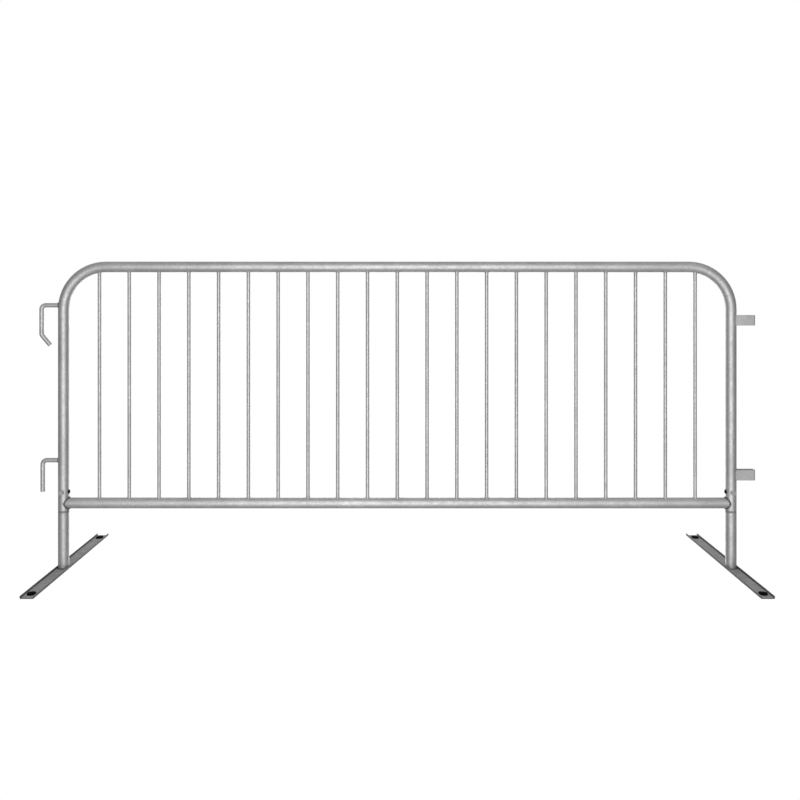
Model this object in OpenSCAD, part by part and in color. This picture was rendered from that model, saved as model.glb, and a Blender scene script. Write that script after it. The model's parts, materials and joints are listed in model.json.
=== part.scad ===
// Crowd control barrier: a steel tube panel with infill bars, interlocking
// hooks and loops, and two pull-off legs standing on flat channel feet.
// Millimetres. +X runs along the panel (hooks at -X, loops at +X), -Y is the
// front, Z = 0 is the floor and the origin is the middle of the footprint.

/* [Frame] */
// Outside width of the tube frame
frame_width = 2438; // [1600:1:2800]
// Height of the top of the frame above the floor
overall_height = 1105; // [900:1:1400]
// Outside diameter of the frame tube
tube_od = 38.1; // [31.8:0.1:48.3]
// Wall of the frame tube
tube_wall = 1.65; // [1.2:0.05:3]
// Bend radius of the top corners, to the tube centreline
corner_radius = 152; // [100:1:240]
// Height of the lower rail centreline
lower_rail_z = 237; // [190:1:300]
// Distance by which the posts run below the lower rail centreline
post_below_rail = 25; // [20:1:60]

/* [Infill bars] */
// Outside diameter of an infill bar
bar_od = 12.7; // [10:0.1:16]
// Wall of an infill bar
bar_wall = 1.2; // [0.8:0.1:2]
// Distance from a post axis to its nearest bar
bar_edge = 129; // [60:1:180]

/* [Hooks] */
// Diameter of the hook rod
hook_rod_d = 16; // [12:0.5:17]
// Distance from the post axis to the hanging part of the upper hook
upper_hook_reach = 79; // [66:1:90]
// Distance of the upper hook arm below the top of the frame
upper_hook_below = 157; // [120:1:240]
// Distance from the upper hook arm down to its inward turn
upper_hook_drop = 101; // [60:1:140]
// Angle of the upper hook tip from vertical
upper_tip_angle = 40; // [20:1:55]
// Straight length of the upper hook tip
upper_tip_len = 42; // [20:1:50]
// Distance from the post axis to the hanging part of the lower hook
lower_hook_reach = 75; // [64:1:90]
// Height of the lower hook arm above the lower rail
lower_hook_above = 154; // [120:1:220]
// Distance from the lower hook arm down to its tip
lower_hook_drop = 113; // [60:1:130]
// Bend radius of the hook rod, to its centreline
hook_bend_r = 15; // [12:0.5:24]
// Rounding of the lower hook tip
hook_tip_round = 1.5; // [0.5:0.5:3]

/* [Loops] */
// Height of the loop strap
loop_height = 37; // [25:1:50]
// Thickness of the loop strap
loop_strap_t = 3; // [2:0.5:5]
// Distance from the post axis to the far face of a loop
loop_reach = 83.5; // [75:0.5:100]
// Gap on each side of a hook rod in a loop
loop_rod_gap = 2; // [0.8:0.1:3]
// Inside radius of the loop bends
loop_bend_in = 3; // [1:0.5:6]
// Distance of the middle of the upper loop below the top of the frame
upper_loop_below = 211; // [170:1:300]
// Height of the middle of the lower loop above the lower rail
lower_loop_above = 102; // [60:1:160]

/* [Legs] */
// Wall of the leg tube
leg_wall = 1.65; // [1.2:0.05:3]
// Height of the stop ring between leg and post
stop_ring_h = 8; // [4:1:14]
// Wall of the leg spigot
spigot_wall = 2.5; // [1.6:0.1:4]
// Length of the spigot above the leg bolt
spigot_over_bolt = 24; // [12:1:60]
// Length of the spigot below the stop ring
spigot_down = 80; // [40:1:110]

/* [Feet] */
// Length of the foot in front of the leg axis
foot_front = 305; // [200:1:420]
// Length of the foot behind the leg axis
foot_rear = 406; // [260:1:500]
// Gap between the leg tube and each lip of the foot
foot_side_gap = 1.5; // [1:0.05:8]
// Height of the foot channel
foot_height = 9.5; // [8.5:0.5:16]
// Thickness of the foot channel
foot_t = 2.5; // [2:0.5:4]
// Inside radius of the foot channel bends
foot_bend_in = 1; // [0.5:0.5:3]
// Distance from a foot end to its rubber pad
pad_inset = 37; // [24:1:80]
// Diameter of the rubber pads
pad_d = 29; // [18:0.5:36]
// Height of a pad above the channel floor
pad_head_h = 4.5; // [2:0.5:6]
// Height by which the pads lift the channel off the floor
pad_sole_h = 2; // [1:0.5:4]
// Diameter of the pad neck through the channel
pad_neck_d = 12; // [8:0.5:15]

/* [Leg bolts] */
// Height of the leg bolts and vent plugs above the lower rail
bolt_above_rail = 41; // [34:1:80]
// Bolt shank diameter
bolt_d = 10; // [8:0.5:12]
// Bolt head and nut width across flats
bolt_flats = 17; // [15:0.5:19]
// Bolt head height
bolt_head_h = 6.4; // [4:0.1:8]
// Nut height
nut_h = 8; // [5:0.1:10]
// Washer outside diameter
washer_od = 20; // [18:0.5:24]
// Washer thickness
washer_t = 2; // [1:0.1:3]
// Bolt length standing out of the nut
bolt_stickout = 4; // [1:0.5:8]

/* [Vent plugs] */
// Diameter of the plug head
plug_head_d = 15; // [12:0.5:18]
// Distance the plug head stands out of the post
plug_proud = 3.6; // [2:0.1:5]
// Diameter of the vent hole
vent_hole_d = 10; // [6:0.5:11]

/* [Fits] */
// Gap at each coped and welded joint
weld_gap = 0.3; // [0.1:0.1:0.5]
// Radial clearance between spigot and tube
spigot_clear = 0.3; // [0.1:0.1:0.6]
// Radial clearance of the bolt in the post
bolt_hole_clear = 0.5; // [0.3:0.1:1]
// Radial clearance between bolt, nut and washer
nut_clear = 0.1; // [0.05:0.05:0.3]
// Radial clearance of the plug in its vent hole
plug_clear = 0.3; // [0.1:0.1:0.5]
// Radial clearance of the pad neck in the channel
pad_clear = 0.3; // [0.1:0.1:0.5]

/* [Hidden] */
$fn = 96;
// A hair by which cutters run past the faces they cut
cut = 1;
// Step by which the hook tip is slimmer than the bend it runs into
tip_ease = 0.1;
// Infill bars are numbered from the hook side
bar_count = 21;
// The panel sits off the footprint's middle: hooks and loops differ in reach, and so do the two
// ends of the feet
panel_x = (max(upper_hook_reach, lower_hook_reach) + hook_rod_d / 2 - loop_reach) / 2;
panel_y = (foot_front - foot_rear) / 2;
tube_r = tube_od / 2;
tube_ir = tube_r - tube_wall;
leg_ir = tube_r - leg_wall;
post_x = frame_width / 2 - tube_r;
top_z = overall_height - tube_r;
bend_x = post_x - corner_radius;
bend_z = top_z - corner_radius;
bar_r = bar_od / 2;
bar_pitch = 2 * (post_x - bar_edge) / (bar_count - 1);
bar_middle = (bar_count + 1) / 2;
post_end_z = lower_rail_z - post_below_rail;
bolt_z = lower_rail_z + bolt_above_rail;
upper_hook_z = overall_height - upper_hook_below;
lower_hook_z = lower_rail_z + lower_hook_above;
upper_loop_z = overall_height - upper_loop_below;
lower_loop_z = lower_rail_z + lower_loop_above;
hook_r = hook_rod_d / 2;
spigot_r = min(tube_ir, leg_ir) - spigot_clear;
spigot_ir = spigot_r - spigot_wall;
spigot_top_z = bolt_z + spigot_over_bolt;
ring_z = post_end_z - stop_ring_h;
loop_depth = hook_rod_d + 2 * (loop_rod_gap + loop_strap_t);
loop_bend_r = loop_bend_in + loop_strap_t;
foot_width = tube_od + 2 * (foot_side_gap + foot_t);
foot_bend_r = foot_bend_in + foot_t;
channel_z = pad_sole_h;
web_top_z = channel_z + foot_t;
foot_len = foot_front + foot_rear;
front_pad_y = -foot_front + pad_inset;
rear_pad_y = foot_rear - pad_inset;
bolt_hole_r = bolt_d / 2 + bolt_hole_clear;
pad_hole_r = pad_neck_d / 2 + pad_clear;
vent_r = vent_hole_d / 2;

STEEL = [0.72, 0.73, 0.74];
ZINC = [0.66, 0.69, 0.74];
FOOT_STEEL = [0.52, 0.51, 0.50];
BLACK = [0.05, 0.05, 0.05];

// ---- helpers -------------------------------------------------------------

// Moves a part from the middle of the panel to its place in the footprint
module in_panel() {
    translate([panel_x, panel_y, 0])
        children();
}

// Places a part on the axis of the left (side = -1) or right (side = 1) post
module on_post(side) {
    translate([panel_x + side * post_x, panel_y, 0])
        children();
}

// Rod along +X, centred on the axis
module x_rod(r, x0, x1) {
    translate([x0, 0, 0])
        rotate([0, 90, 0])
            cylinder(r = r, h = x1 - x0);
}

// Cone along +X, centred on the axis
module x_cone(r0, r1, x0, x1) {
    translate([x0, 0, 0])
        rotate([0, 90, 0])
            cylinder(r1 = r0, r2 = r1, h = x1 - x0);
}

// Rod along +Y, centred on the axis
module y_rod(r, y0, y1) {
    translate([0, y0, 0])
        rotate([-90, 0, 0])
            cylinder(r = r, h = y1 - y0);
}

// Solid with the run of the hoop: two posts, two bends and the top rail
module hoop(r, z0) {
    for (side = [-1, 1])
        translate([side * post_x, 0, z0])
            cylinder(r = r, h = bend_z - z0);
    translate([0, 0, top_z])
        x_rod(r, -bend_x, bend_x);
    for (side = [-1, 1])
        hoop_bend(r, side);
}

// One top corner of the hoop
module hoop_bend(r, side) {
    translate([side * bend_x, 0, bend_z])
        rotate([90, 0, 0])
            rotate([0, 0, side > 0 ? 0 : 90])
                rotate_extrude(angle = 90)
                    translate([corner_radius, 0])
                        circle(r = r);
}

// Outline of a post and its bend, for coping whatever is welded to its side
module post_envelope(side) {
    translate([side * post_x, 0, 0])
        cylinder(r = tube_r + weld_gap, h = bend_z);
    hoop_bend(tube_r + weld_gap, side);
}

// Height of the hoop's centreline over x
function hoop_z(x) =
    bend_z + sqrt(pow(corner_radius, 2) - pow(max(0, abs(x) - bend_x), 2));

// Distance by which the hoop's centreline has turned inward at height z
function hoop_inset(z) =
    corner_radius - sqrt(pow(corner_radius, 2) - pow(max(0, z - bend_z), 2));

// ---- frame ---------------------------------------------------------------

module frame_tube() {
    color(STEEL)
        in_panel()
            difference() {
                hoop(tube_r, post_end_z);
                hoop(tube_ir, post_end_z - cut);
                for (side = [-1, 1])
                    translate([side * post_x, 0, bolt_z])
                        y_rod(bolt_hole_r, -tube_r - cut, tube_r + cut);
                for (side = [-1, 1])
                    translate([side * post_x, 0, bolt_z])
                        rotate([0, 0, side > 0 ? 180 : 0])
                            x_rod(vent_r, 0, tube_r + cut);
            }
}

module lower_rail() {
    color(STEEL)
        in_panel()
            difference() {
                translate([0, 0, lower_rail_z])
                    x_rod(tube_r, -post_x, post_x);
                translate([0, 0, lower_rail_z])
                    x_rod(tube_ir, -post_x - cut, post_x + cut);
                for (side = [-1, 1])
                    post_envelope(side);
            }
}

module infill_bar(n) {
    x = (n - bar_middle) * bar_pitch;
    bar_h = hoop_z(x) - lower_rail_z;
    color(STEEL)
        in_panel()
            difference() {
                translate([x, 0, lower_rail_z])
                    cylinder(r = bar_r, h = bar_h);
                translate([x, 0, lower_rail_z - cut])
                    cylinder(r = bar_r - bar_wall, h = bar_h + 2 * cut);
                translate([x, 0, lower_rail_z])
                    x_rod(tube_r + weld_gap, -bar_od, bar_od);
                if (abs(x) - bar_od < bend_x)
                    translate([0, 0, top_z])
                        x_rod(tube_r + weld_gap, -bend_x, bend_x);
                if (abs(x) + bar_od > bend_x)
                    hoop_bend(tube_r + weld_gap, sign(x));
            }
}

// ---- hooks and loops -----------------------------------------------------

// Arm of a hook: from the hoop out to the bend and round it, turning down. inset is the distance
// of the hoop's centreline inside the post axis
module hook_arm(reach, inset) {
    x_rod(hook_r, -reach + hook_bend_r, inset);
    translate([-reach + hook_bend_r, 0, -hook_bend_r])
        rotate([90, 0, 0])
            rotate([0, 0, 90])
                rotate_extrude(angle = 90)
                    translate([hook_bend_r, 0])
                        circle(r = hook_r);
}

module upper_hook() {
    drop = upper_hook_drop - hook_bend_r;
    color(STEEL)
        in_panel()
            difference() {
                translate([-post_x, 0, upper_hook_z]) {
                    hook_arm(upper_hook_reach, hoop_inset(upper_hook_z));
                    translate([-upper_hook_reach, 0, -hook_bend_r - drop])
                        cylinder(r = hook_r, h = drop);
                    translate([-upper_hook_reach + hook_bend_r, 0, -hook_bend_r - drop])
                        hook_tip();
                }
                post_envelope(-1);
            }
}

// Inward turn and straight tip, about the centre of the turn
module hook_tip() {
    rotate([90, 0, 0])
        rotate([0, 0, 180])
            rotate_extrude(angle = upper_tip_angle)
                translate([hook_bend_r, 0])
                    circle(r = hook_r);
    rotate([0, -upper_tip_angle, 0])
        translate([-hook_bend_r, 0, -upper_tip_len])
            cylinder(r = hook_r - tip_ease, h = upper_tip_len + cut);
}

module lower_hook() {
    tip_h = lower_hook_drop - hook_bend_r;
    color(STEEL)
        in_panel()
            difference() {
                translate([-post_x, 0, lower_hook_z]) {
                    hook_arm(lower_hook_reach, hoop_inset(lower_hook_z));
                    translate([-lower_hook_reach, 0, -hook_bend_r - tip_h])
                        rounded_rod(tip_h);
                }
                post_envelope(-1);
            }
}

// Rod with a rounded lower end
module rounded_rod(h) {
    translate([0, 0, hook_tip_round])
        cylinder(r = hook_r, h = h - hook_tip_round);
    cylinder(r1 = hook_r - hook_tip_round, r2 = hook_r, h = hook_tip_round);
}

// Strap loop standing out of the right post, centred on height z
module strap_loop(z) {
    inset = hoop_inset(z);
    color(STEEL)
        in_panel()
            difference() {
                translate([post_x - inset, 0, z - loop_height / 2])
                    loop_solid(loop_reach + inset, loop_depth, loop_bend_r, loop_height);
                translate([post_x - inset, 0, z - loop_height / 2 - cut])
                    loop_solid(loop_reach + inset - loop_strap_t, loop_depth - 2 * loop_strap_t,
                        loop_bend_in, loop_height + 2 * cut);
                post_envelope(1);
            }
}

// Bar from x = 0 to reach, with two rounded far edges
module loop_solid(reach, depth, r, h) {
    translate([0, -depth / 2, 0])
        cube([reach - r, depth, h]);
    translate([0, -depth / 2 + r, 0])
        cube([reach, depth - 2 * r, h]);
    for (side = [-1, 1])
        translate([reach - r, side * (depth / 2 - r), 0])
            cylinder(r = r, h = h);
}

// ---- leg bolts and vent plugs --------------------------------------------

// Hexagonal prism along +Y from y = 0
module hex_y(flats, h) {
    rotate([-90, 0, 0])
        rotate([0, 0, 30])
            cylinder(r = flats / sqrt(3), h = h, $fn = 6);
}

module leg_bolt(side) {
    grip = 2 * (tube_r + weld_gap) + washer_t + nut_h + bolt_stickout;
    color(ZINC)
        on_post(side)
            translate([0, -tube_r - weld_gap, bolt_z]) {
                translate([0, -bolt_head_h, 0])
                    hex_y(bolt_flats, bolt_head_h);
                y_rod(bolt_d / 2, -bolt_head_h / 2, grip);
            }
}

module leg_washer(side) {
    color(ZINC)
        on_post(side)
            translate([0, tube_r + weld_gap, bolt_z])
                difference() {
                    y_rod(washer_od / 2, 0, washer_t);
                    y_rod(bolt_d / 2 + nut_clear, -cut, washer_t + cut);
                }
}

module leg_nut(side) {
    color(ZINC)
        on_post(side)
            translate([0, tube_r + weld_gap + washer_t, bolt_z])
                difference() {
                    hex_y(bolt_flats, nut_h);
                    y_rod(bolt_d / 2 + nut_clear, -cut, nut_h + cut);
                }
}

// Domed plug on the inner side of a post, its neck in the vent hole
module vent_plug(side) {
    head_r = plug_head_d / 2;
    // The rim of the head reaches down over the curve of the post
    rim_x = sqrt(tube_r * tube_r - head_r * head_r);
    edge_x = tube_r + plug_proud / 4;
    shoulder_x = tube_r + plug_proud * 3 / 4;
    color(BLACK)
        on_post(side)
            translate([0, 0, bolt_z])
                rotate([0, 0, side > 0 ? 180 : 0]) {
                    difference() {
                        union() {
                            x_rod(head_r, rim_x, edge_x);
                            x_cone(head_r, head_r * 0.84, edge_x, shoulder_x);
                            x_cone(head_r * 0.84, head_r * 0.5, shoulder_x, tube_r + plug_proud);
                        }
                        translate([0, 0, -plug_head_d])
                            cylinder(r = tube_r + weld_gap, h = 2 * plug_head_d);
                    }
                    x_rod(vent_r - plug_clear, tube_ir, edge_x);
                }
}

// ---- legs and feet -------------------------------------------------------

module leg_tube(side) {
    leg_h = ring_z - web_top_z - weld_gap;
    color(STEEL)
        on_post(side)
            translate([0, 0, web_top_z + weld_gap])
                difference() {
                    cylinder(r = tube_r, h = leg_h);
                    translate([0, 0, -cut])
                        cylinder(r = leg_ir, h = leg_h + 2 * cut);
                }
}

module stop_ring(side) {
    color(FOOT_STEEL)
        on_post(side)
            translate([0, 0, ring_z])
                difference() {
                    cylinder(r = tube_r, h = stop_ring_h);
                    translate([0, 0, -cut])
                        cylinder(r = spigot_r + spigot_clear, h = stop_ring_h + 2 * cut);
                }
}

// Tube that slides into the post; slots open at its top clear the bolt
module spigot(side) {
    foot_z = ring_z - spigot_down;
    spigot_h = spigot_top_z - foot_z;
    color(STEEL)
        on_post(side)
            difference() {
                translate([0, 0, foot_z])
                    cylinder(r = spigot_r, h = spigot_h);
                translate([0, 0, foot_z - cut])
                    cylinder(r = spigot_ir, h = spigot_h + 2 * cut);
                translate([0, 0, bolt_z])
                    y_rod(bolt_hole_r, -tube_r, tube_r);
                translate([-bolt_hole_r, -tube_r, bolt_z])
                    cube([2 * bolt_hole_r, tube_od, spigot_h]);
            }
}

// Trough with rounded lower edges along Y, from y = 0, centred on x = 0
module trough_solid(width, r, length, height) {
    translate([-width / 2 + r, 0, 0])
        cube([width - 2 * r, length, height]);
    translate([-width / 2, 0, r])
        cube([width, length, height - r]);
    for (side = [-1, 1])
        translate([side * (width / 2 - r), 0, r])
            y_rod(r, 0, length);
}

module foot_channel(side) {
    color(FOOT_STEEL)
        on_post(side)
            difference() {
                translate([0, -foot_front, channel_z])
                    trough_solid(foot_width, foot_bend_r, foot_len, foot_height);
                translate([0, -foot_front - cut, web_top_z])
                    trough_solid(foot_width - 2 * foot_t, foot_bend_in,
                        foot_len + 2 * cut, foot_height);
                for (y = [front_pad_y, rear_pad_y])
                    translate([0, y, 0])
                        cylinder(r = pad_hole_r, h = web_top_z + cut);
            }
}

module rubber_pad(side, y) {
    color(BLACK)
        on_post(side)
            translate([0, y, 0]) {
                cylinder(r = pad_d / 2, h = pad_sole_h);
                cylinder(r = pad_neck_d / 2, h = web_top_z + cut);
                translate([0, 0, web_top_z])
                    cylinder(r = pad_d / 2, h = pad_head_h);
            }
}

// ---- assembly ------------------------------------------------------------

frame_tube();
lower_rail();
infill_bar(1);  // infill_bar_01
infill_bar(2);  // infill_bar_02
infill_bar(3);  // infill_bar_03
infill_bar(4);  // infill_bar_04
infill_bar(5);  // infill_bar_05
infill_bar(6);  // infill_bar_06
infill_bar(7);  // infill_bar_07
infill_bar(8);  // infill_bar_08
infill_bar(9);  // infill_bar_09
infill_bar(10);  // infill_bar_10
infill_bar(11);  // infill_bar_11
infill_bar(12);  // infill_bar_12
infill_bar(13);  // infill_bar_13
infill_bar(14);  // infill_bar_14
infill_bar(15);  // infill_bar_15
infill_bar(16);  // infill_bar_16
infill_bar(17);  // infill_bar_17
infill_bar(18);  // infill_bar_18
infill_bar(19);  // infill_bar_19
infill_bar(20);  // infill_bar_20
infill_bar(21);  // infill_bar_21
upper_hook();
lower_hook();
strap_loop(upper_loop_z);  // upper_loop
strap_loop(lower_loop_z);  // lower_loop
leg_bolt(-1);  // left_bolt
leg_washer(-1);  // left_washer
leg_nut(-1);  // left_nut
vent_plug(-1);  // left_vent_plug
leg_bolt(1);  // right_bolt
leg_washer(1);  // right_washer
leg_nut(1);  // right_nut
vent_plug(1);  // right_vent_plug
leg_tube(-1);  // left_leg_tube
spigot(-1);  // left_spigot
stop_ring(-1);  // left_stop_ring
foot_channel(-1);  // left_foot_channel
rubber_pad(-1, front_pad_y);  // left_front_pad
rubber_pad(-1, rear_pad_y);  // left_rear_pad
leg_tube(1);  // right_leg_tube
spigot(1);  // right_spigot
stop_ring(1);  // right_stop_ring
foot_channel(1);  // right_foot_channel
rubber_pad(1, front_pad_y);  // right_front_pad
rubber_pad(1, rear_pad_y);  // right_rear_pad
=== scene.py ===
"""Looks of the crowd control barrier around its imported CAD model. Metres, in the CAD frame."""
import json
import math
import random

import bpy
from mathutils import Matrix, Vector


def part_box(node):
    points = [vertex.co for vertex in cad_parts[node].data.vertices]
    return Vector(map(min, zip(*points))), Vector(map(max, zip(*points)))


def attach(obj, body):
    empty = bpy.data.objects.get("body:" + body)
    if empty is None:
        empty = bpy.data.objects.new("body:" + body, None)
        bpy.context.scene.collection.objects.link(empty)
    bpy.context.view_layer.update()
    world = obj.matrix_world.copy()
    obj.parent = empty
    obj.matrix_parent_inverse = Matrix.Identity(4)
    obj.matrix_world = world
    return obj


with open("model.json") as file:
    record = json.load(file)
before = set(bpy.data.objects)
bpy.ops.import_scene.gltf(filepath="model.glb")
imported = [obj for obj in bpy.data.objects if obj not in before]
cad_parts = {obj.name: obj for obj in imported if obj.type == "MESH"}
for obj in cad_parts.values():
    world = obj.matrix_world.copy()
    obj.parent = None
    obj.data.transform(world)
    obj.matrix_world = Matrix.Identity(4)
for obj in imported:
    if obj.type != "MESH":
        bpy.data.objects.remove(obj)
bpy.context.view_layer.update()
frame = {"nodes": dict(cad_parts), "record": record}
random.seed(7)

TAU = 2 * math.pi
SIDES = ("left", "right")

# ---- places, from the CAD frame ---------------------------------------------

frame_lo, frame_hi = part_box("frame_tube")
rail_lo, rail_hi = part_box("lower_rail")
PANEL_X = (frame_lo.x + frame_hi.x) / 2
PANEL_Y = (frame_lo.y + frame_hi.y) / 2
TUBE_R = (frame_hi.y - frame_lo.y) / 2
POST_X = (frame_hi.x - frame_lo.x) / 2 - TUBE_R
TOP_Z = frame_hi.z - TUBE_R
RAIL_Z = (rail_lo.z + rail_hi.z) / 2
# Radius of the tube's axis in the two top bends, as in the CAD model
BEND_R = 0.152
BEND_X = POST_X - BEND_R
BEND_Z = TOP_Z - BEND_R
BARS = sorted(n for n in frame["nodes"] if n.startswith("infill_bar_"))
bar_lo, bar_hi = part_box(BARS[len(BARS) // 2])
BAR_R = (bar_hi.x - bar_lo.x) / 2


# ---- materials ----------------------------------------------------------------

# Cells per metre of the crystal pattern in the zinc
SPANGLE = 120.0
BLACK = (0, 0, 0)


def scaled(colour, factor):
    return tuple(c * factor for c in colour)


class Shader:
    """A node material whose detail is laid out in object coordinates, in metres."""

    def __init__(self, name, colour, metallic, roughness):
        self.material = bpy.data.materials.new(name)
        self.material.use_nodes = True
        self.tree = self.material.node_tree
        self.bsdf = self.tree.nodes["Principled BSDF"]
        self.bsdf.inputs["Base Color"].default_value = (*colour, 1)
        self.bsdf.inputs["Metallic"].default_value = metallic
        self.bsdf.inputs["Roughness"].default_value = roughness
        self.place = self.add("ShaderNodeTexCoord").outputs["Object"]

    def add(self, kind):
        return self.tree.nodes.new(kind)

    def link(self, a, b):
        self.tree.links.new(a, b)

    def noise(self, scale, detail=3.0, rough=0.55):
        node = self.add("ShaderNodeTexNoise")
        node.inputs["Scale"].default_value = scale
        node.inputs["Detail"].default_value = detail
        node.inputs["Roughness"].default_value = rough
        self.link(self.place, node.inputs["Vector"])
        return node.outputs["Fac"]

    def cells(self, scale, output="Color"):
        node = self.add("ShaderNodeTexVoronoi")
        node.inputs["Scale"].default_value = scale
        self.link(self.place, node.inputs["Vector"])
        return node.outputs[output]

    def span(self, source, lo, hi, from_lo=0.0, from_hi=1.0):
        node = self.add("ShaderNodeMapRange")
        node.inputs["From Min"].default_value = from_lo
        node.inputs["From Max"].default_value = from_hi
        node.inputs["To Min"].default_value = lo
        node.inputs["To Max"].default_value = hi
        self.link(source, node.inputs["Value"])
        return node.outputs["Result"]

    def mix(self, factor, a, b, blend="MIX"):
        node = self.add("ShaderNodeMix")
        node.data_type = "RGBA"
        node.blend_type = blend
        for socket, value in ((node.inputs[0], factor), (node.inputs[6], a), (node.inputs[7], b)):
            if isinstance(value, bpy.types.NodeSocket):
                self.link(value, socket)
            elif socket.type == "RGBA":
                socket.default_value = (*value, 1)
            else:
                socket.default_value = value
        return node.outputs[2]

    def steepness(self):
        """1 on level faces, 0 on upright ones."""
        parts = self.add("ShaderNodeSeparateXYZ")
        self.link(self.add("ShaderNodeTexCoord").outputs["Normal"], parts.inputs["Vector"])
        size = self.add("ShaderNodeMath")
        size.operation = "ABSOLUTE"
        self.link(parts.outputs["Z"], size.inputs[0])
        return size.outputs["Value"]

    def colour(self, source):
        self.link(source, self.bsdf.inputs["Base Color"])

    def roughness(self, source):
        self.link(source, self.bsdf.inputs["Roughness"])

    def bump(self, source, strength, distance):
        node = self.add("ShaderNodeBump")
        node.inputs["Strength"].default_value = strength
        node.inputs["Distance"].default_value = distance
        self.link(source, node.inputs["Height"])
        self.link(node.outputs["Normal"], self.bsdf.inputs["Normal"])


def galvanised(name, dark, light, roughness):
    """Hot-dip zinc: crystal spangle, cloudy patches, fine mottling and small dull specks."""
    s = Shader(name, light, 0.9, roughness)
    crystal = s.add("ShaderNodeSeparateColor")
    s.link(s.cells(SPANGLE), crystal.inputs["Color"])
    cloud = s.noise(11.0, 4.0)
    base = s.mix(s.span(cloud, 0.0, 1.0, 0.35, 0.7), dark, light)
    spangled = s.mix(s.span(crystal.outputs["Red"], 0.0, 0.3), base, scaled(dark, 0.8))
    mottled = s.mix(s.span(s.noise(170.0, 4.0, 0.7), 0.0, 0.4, 0.45, 0.75), spangled, scaled(dark, 0.62))
    specks = s.span(s.noise(420.0, 2.0, 0.5), 0.0, 0.35, 0.66, 0.78)
    s.colour(s.mix(specks, mottled, scaled(dark, 0.45)))
    s.roughness(s.span(crystal.outputs["Green"], roughness - 0.05, roughness + 0.07))
    s.bump(s.noise(700.0, 2.0), 0.12, 0.0004)
    return s.material


def dull_steel(name, dark, light, roughness, upright=1.0):
    """Dull rolled steel: mottled scale, scuffs and fine pitting. upright is the share of its tone
    that painted shade leaves on upright faces, which come out darker than level faces."""
    s = Shader(name, light, 0.3, roughness)
    mottle = s.noise(32.0, 6.0, 0.65)
    base = s.mix(s.span(mottle, 0.0, 1.0, 0.32, 0.68), dark, light)
    scuff = s.noise(160.0, 3.0, 0.7)
    worn = s.mix(s.span(scuff, 0.0, 0.3, 0.58, 0.75), base, scaled(light, 1.5))
    # Painted shade: upright faces are mixed towards black and keep only the share upright of their tone.
    s.colour(s.mix(s.span(s.steepness(), 1.0 - upright, 0.0), worn, BLACK))
    s.roughness(s.span(mottle, roughness - 0.08, roughness + 0.1))
    s.bump(s.noise(900.0, 3.0), 0.25, 0.0006)
    return s.material


def zinc_plate(name, colour, roughness):
    """Bright zinc plate: bluish, with light handling marks."""
    s = Shader(name, colour, 0.95, roughness)
    marks = s.noise(420.0, 4.0, 0.7)
    s.colour(s.mix(s.span(marks, 0.0, 0.5, 0.45, 0.75), colour, scaled(colour, 0.6)))
    s.roughness(s.span(marks, roughness - 0.06, roughness + 0.14))
    s.bump(marks, 0.15, 0.0003)
    return s.material


def weld_metal(name, dark, light, roughness):
    """Weld bead under the zinc: lumpy, a little duller than the tube."""
    s = Shader(name, light, 0.85, roughness)
    lumps = s.noise(260.0, 3.0, 0.6)
    s.colour(s.mix(s.span(lumps, 0.0, 1.0, 0.35, 0.65), dark, light))
    s.roughness(s.span(lumps, roughness - 0.06, roughness + 0.08))
    s.bump(lumps, 0.35, 0.0008)
    return s.material


def black_polymer(name, colour, dust, roughness):
    """Black rubber or plastic with a trace of dust in its grain."""
    s = Shader(name, colour, 0.0, roughness)
    s.bsdf.inputs["Specular IOR Level"].default_value = 0.03
    grain = s.noise(1100.0, 3.0, 0.6)
    film = s.noise(55.0, 4.0, 0.6)
    s.colour(s.mix(s.span(film, 0.0, 0.5, 0.5, 0.8), colour, dust))
    s.roughness(s.span(grain, roughness - 0.06, roughness + 0.1))
    s.bump(grain, 0.3, 0.0003)
    return s.material


MATERIALS = {
    "galvanised_steel": galvanised("galvanised_steel", (0.54, 0.54, 0.54), (0.64, 0.64, 0.64), 0.55),
    # upright=0.35 paints shade on the feet's upright faces.
    "dull_steel": dull_steel("dull_steel", (0.16, 0.16, 0.16), (0.22, 0.22, 0.22), 0.6,
                             upright=0.35),
    "zinc_plate": zinc_plate("zinc_plate", (0.55, 0.56, 0.58), 0.36),
    "black_rubber": black_polymer("black_rubber", (0.001, 0.001, 0.001), (0.006, 0.006, 0.006), 0.7),
    "black_plastic": black_polymer("black_plastic", (0.005, 0.005, 0.005), (0.015, 0.015, 0.016),
                                   0.4),
    "stop_ring": dull_steel("stop_ring", (0.2, 0.2, 0.2), (0.27, 0.27, 0.27), 0.7),
    "weld": weld_metal("weld", (0.42, 0.42, 0.42), (0.62, 0.62, 0.62), 0.5),
    # Far darker than the weld: painted shade of the creases where the rails and hooks meet the posts and
    # the legs meet the feet.
    "joint_weld": weld_metal("joint_weld", (0.11, 0.11, 0.11), (0.19, 0.19, 0.19), 0.6),
}


def paint_cad_nodes():
    """Each CAD node takes the material of its record slot; the stop rings are a paler dull steel."""
    slots = {s["node"]: s["material_slot"] for s in frame["record"]["subparts"]}
    for name, node in frame["nodes"].items():
        kind = "stop_ring" if name.endswith("stop_ring") else slots[name]
        node.data.materials.clear()
        node.data.materials.append(MATERIALS[kind])


# ---- new pieces ---------------------------------------------------------------

# Radius of each weld bead, in metres
BAR_BEAD = (0.0015, 0.0019)
RAIL_BEAD = 0.0042
HOOK_BEAD = 0.002
LOOP_BEAD = 0.0017
FOOT_BEAD = 0.0032
# Points along each bead
BAR_POINTS = 28
RAIL_POINTS = 96
HOOK_POINTS = 40
LOOP_STEPS = 22
FOOT_POINTS = 80


def add_piece(name, vertices, faces, material, slot, body):
    mesh = bpy.data.meshes.new(name)
    mesh.from_pydata(vertices, [], faces)
    mesh.validate()
    mesh.polygons.foreach_set("use_smooth", [True] * len(mesh.polygons))
    piece = bpy.data.objects.new(name, mesh)
    bpy.context.collection.objects.link(piece)
    mesh.materials.append(MATERIALS[material])
    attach(piece, body)
    return piece


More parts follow.
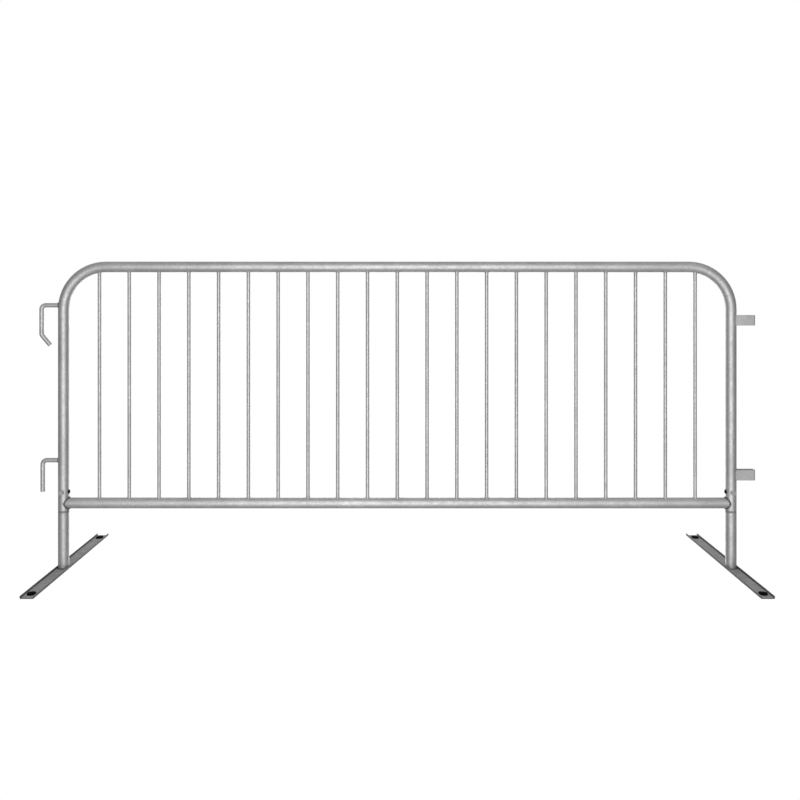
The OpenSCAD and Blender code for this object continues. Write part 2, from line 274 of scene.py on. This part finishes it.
def sweep(path, radius, closed=True, sides=10, ripple=0.14, pitch=0.0022):
    """Bead along a path of points: a round section whose radius ripples as a weld does."""
    count = len(path)
    vertices, faces = [], []
    run = 0.0
    phase = random.uniform(0, TAU)
    for i, point in enumerate(path):
        before = path[i - 1] if closed or i else path[0]
        after = path[(i + 1) % count] if closed or i < count - 1 else path[-1]
        along = (after - before).normalized()
        side = along.cross(Vector((0, 0, 1)) if abs(along.z) < 0.9 else Vector((1, 0, 0))).normalized()
        up = side.cross(along)
        run += (point - before).length
        swell = 1 + ripple * math.sin(TAU * run / pitch + phase) + random.uniform(-0.05, 0.05)
        ease = 1.0 if closed else min(1.0, 0.35 + min(i, count - 1 - i) / 3)
        for k in range(sides):
            turn = TAU * k / sides
            vertices.append(point + (side * math.cos(turn) + up * math.sin(turn)) * radius * swell * ease)
    rings = count if closed else count - 1
    for i in range(rings):
        a, b = i * sides, ((i + 1) % count) * sides
        for k in range(sides):
            n = (k + 1) % sides
            faces.append((a + k, a + n, b + n, b + k))
    if not closed:
        faces.append(tuple(reversed(range(sides))))
        faces.append(tuple((count - 1) * sides + k for k in range(sides)))
    return vertices, faces


def merge(parts):
    vertices, faces = [], []
    for part_vertices, part_faces in parts:
        start = len(vertices)
        vertices += part_vertices
        faces += [tuple(start + v for v in face) for face in part_faces]
    return vertices, faces


def hoop_underside(x, y):
    """Height of the hoop's lower surface over (x, y), with y from the panel plane."""
    drop = math.sqrt(TUBE_R ** 2 - y ** 2)
    beyond = abs(x - PANEL_X) - BEND_X
    if beyond <= 0:
        return TOP_Z - drop
    return BEND_Z + math.sqrt((BEND_R - drop) ** 2 - beyond ** 2)


def bar_weld_path(x, lower):
    """Ring round one end of a bar, where it meets the lower rail or the hoop."""
    points = []
    for k in range(BAR_POINTS):
        turn = TAU * k / BAR_POINTS
        dx, dy = BAR_R * math.cos(turn), BAR_R * math.sin(turn)
        if lower:
            z = RAIL_Z + math.sqrt(TUBE_R ** 2 - dy ** 2)
        else:
            z = hoop_underside(x + dx, dy)
        points.append(Vector((x + dx, PANEL_Y + dy, z)))
    return points


def weld_infill_bars():
    for name, lower in (("weld_bars_lower", True), ("weld_bars_upper", False)):
        beads = []
        for bar in BARS:
            lo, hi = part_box(bar)
            size = random.uniform(*BAR_BEAD)
            beads.append(sweep(bar_weld_path((lo.x + hi.x) / 2, lower), size))
        add_piece(name, *merge(beads), "weld", "galvanised_steel", "frame")


def saddle_path(side, radius, squeeze, count):
    """Curve where a rod along X meets the outer side of a post. side is +1 towards +X. squeeze
    draws it in at front and back, where a weld fills the sharp notch between equal tubes."""
    def point(turn):
        y, z = squeeze * radius * math.cos(turn), radius * math.sin(turn)
        return Vector((side * math.sqrt(max(TUBE_R ** 2 - y ** 2, 0)), y, z))
    return [point(TAU * k / count) for k in range(count)]


def weld_at_post(name, post_side, face_side, axis_z, radius, size, count, squeeze=1.0):
    origin = Vector((PANEL_X + post_side * POST_X, PANEL_Y, axis_z))
    path = [origin + p for p in saddle_path(face_side, radius, squeeze, count)]
    add_piece(name, *sweep(path, size, ripple=0.08), "joint_weld", "galvanised_steel", "frame")


def weld_rails_and_hooks():
    for post_side, side in ((-1, "left"), (1, "right")):
        weld_at_post(f"weld_rail_{side}", post_side, -post_side, RAIL_Z, TUBE_R, RAIL_BEAD,
                     RAIL_POINTS, squeeze=0.88)
    for hook in ("upper_hook", "lower_hook"):
        lo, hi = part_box(hook)
        rod_r = (hi.y - lo.y) / 2
        weld_at_post(f"weld_{hook}", -1, -1, hi.z - rod_r, rod_r, HOOK_BEAD, HOOK_POINTS)


def weld_loops():
    for loop in ("upper_loop", "lower_loop"):
        lo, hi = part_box(loop)
        beads = []
        for y in (lo.y, hi.y):
            reach = math.sqrt(TUBE_R ** 2 - (y - PANEL_Y) ** 2)
            path = [Vector((PANEL_X + POST_X + reach, y, lo.z + (hi.z - lo.z) * k / LOOP_STEPS))
                    for k in range(LOOP_STEPS + 1)]
            beads.append(sweep(path, LOOP_BEAD, closed=False))
        add_piece(f"weld_{loop}", *merge(beads), "weld", "galvanised_steel", "frame")


def weld_leg_feet():
    for side in SIDES:
        lo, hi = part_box(f"{side}_leg_tube")
        centre = Vector(((lo.x + hi.x) / 2, PANEL_Y, lo.z))
        turns = [TAU * k / FOOT_POINTS for k in range(FOOT_POINTS)]
        path = [centre + Vector((math.cos(t), math.sin(t), 0)) * (TUBE_R + 0.0004) for t in turns]
        add_piece(f"weld_{side}_foot", *sweep(path, FOOT_BEAD, ripple=0.07, pitch=0.003), "joint_weld",
                  "dull_steel", f"{side}_leg")


# ---- studio -------------------------------------------------------------------

CAMERA_DISTANCE = 3.05
CAMERA_HEIGHT = 0.998
# An 800-wide picture at 3.597 mm per unit in the plane of the panel
FRAME_WIDTH_SEEN = 800 * 0.003597
SHIFT_X = 0.0034
SHIFT_Y = -0.1358
SENSOR = 36.0
# The keys hang lower than the camera, so that the legs mirror them as the posts do
KEY_HEIGHT = 0.65
# Taller than wide, which brightens the rails more than the posts
KEY_WIDTH = 3.4
KEY_TALL = 4.8
KEY_DISTANCE = 3.2
KEY_FRONT_WATTS = 101
KEY_BACK_WATTS = 87
# Under the feet by both legs' full drop out of the posts. At rest the barrier stands above the
# floor by that much, which shows only if the floor is made to take shadows.
FLOOR_Z = -0.12


def add_sun(name, direction, spread, strength, glossy=True):
    """Soft light of even strength. direction points the way the light travels, spread is in degrees."""
    data = bpy.data.lights.new(name, "SUN")
    data.energy = strength
    data.angle = math.radians(spread)
    light = bpy.data.objects.new(name, data)
    bpy.context.collection.objects.link(light)
    light.rotation_euler = Vector(direction).to_track_quat("-Z", "Y").to_euler()
    light.visible_glossy = glossy


def add_softbox(name, place, target, width, height, power):
    """Oval soft light that is not itself seen."""
    data = bpy.data.lights.new(name, "AREA")
    data.shape = "ELLIPSE"
    data.size = width
    data.size_y = height
    data.energy = power
    light = bpy.data.objects.new(name, data)
    bpy.context.collection.objects.link(light)
    light.location = place
    light.rotation_euler = (Vector(target) - Vector(place)).to_track_quat("-Z", "Y").to_euler()
    light.visible_camera = False


def build_world():
    """White to the eye; as a light, dim at the sides and brighter above and below."""
    world = bpy.data.worlds.new("studio")
    bpy.context.scene.world = world
    world.use_nodes = True
    tree = world.node_tree
    backdrop = tree.nodes.new("ShaderNodeBackground")
    backdrop.inputs["Color"].default_value = (1, 1, 1, 1)
    fill = tree.nodes["Background"]
    place = tree.nodes.new("ShaderNodeTexCoord")
    height = tree.nodes.new("ShaderNodeSeparateXYZ")
    ramp = tree.nodes.new("ShaderNodeValToRGB")
    steepness = tree.nodes.new("ShaderNodeMath")
    steepness.operation = "ABSOLUTE"
    ramp.color_ramp.elements[0].color = (0.19, 0.19, 0.19, 1)
    ramp.color_ramp.elements[1].color = (0.42, 0.42, 0.42, 1)
    path = tree.nodes.new("ShaderNodeLightPath")
    mix = tree.nodes.new("ShaderNodeMixShader")
    tree.links.new(place.outputs["Generated"], height.inputs["Vector"])
    tree.links.new(height.outputs["Z"], steepness.inputs[0])
    tree.links.new(steepness.outputs["Value"], ramp.inputs["Fac"])
    tree.links.new(ramp.outputs["Color"], fill.inputs["Color"])
    tree.links.new(path.outputs["Is Camera Ray"], mix.inputs["Fac"])
    tree.links.new(fill.outputs["Background"], mix.inputs[1])
    tree.links.new(backdrop.outputs["Background"], mix.inputs[2])
    tree.links.new(mix.outputs["Shader"], tree.nodes["World Output"].inputs["Surface"])


def build_studio():
    bpy.ops.mesh.primitive_plane_add(size=60, location=(0, 0, FLOOR_Z))
    floor = bpy.context.object
    floor.name = "studio_floor"
    # The floor shows its own even white: lit by the keys, it would outshine the thin bars before it
    s = Shader("studio_floor", BLACK, 0.0, 1.0)
    s.bsdf.inputs["Specular IOR Level"].default_value = 0.0
    s.bsdf.inputs["Emission Strength"].default_value = 1.0
    white = s.mix(s.span(s.noise(0.6), 0.0, 1.0, 0.3, 0.7), (1, 1, 1), (1.02, 1.02, 1.02))
    s.link(white, s.bsdf.inputs["Emission Color"])
    floor.data.materials.append(s.material)
    # It throws no light up and shows in no reflection. The keys hang partly below it, and it
    # doesn't stop their light.
    floor.visible_glossy = False
    floor.visible_diffuse = False
    floor.visible_shadow = False
    build_world()
    middle = Vector((PANEL_X, PANEL_Y, KEY_HEIGHT))
    back = Vector((0, KEY_DISTANCE, 0))
    add_softbox("key_front", middle - back, middle, KEY_WIDTH, KEY_TALL, KEY_FRONT_WATTS)
    add_softbox("key_back", middle + back, middle, KEY_WIDTH, KEY_TALL, KEY_BACK_WATTS)
    add_sun("top_soft", (0, 0, -1), 70, 2.6, glossy=False)


# ---- camera -------------------------------------------------------------------

def build_camera():
    data = bpy.data.cameras.new("camera")
    data.sensor_width = SENSOR
    data.lens = SENSOR * CAMERA_DISTANCE / FRAME_WIDTH_SEEN
    data.shift_x = SHIFT_X
    data.shift_y = SHIFT_Y
    data.clip_start, data.clip_end = 0.05, 100
    camera = bpy.data.objects.new("camera", data)
    bpy.context.collection.objects.link(camera)
    camera.location = (PANEL_X, PANEL_Y - CAMERA_DISTANCE, CAMERA_HEIGHT)
    camera.rotation_euler = (math.pi / 2, 0, 0)
    bpy.context.scene.camera = camera


build_camera()
build_studio()
paint_cad_nodes()
weld_infill_bars()
weld_rails_and_hooks()
weld_loops()
weld_leg_feet()
bpy.context.scene.view_settings.view_transform = "Standard"
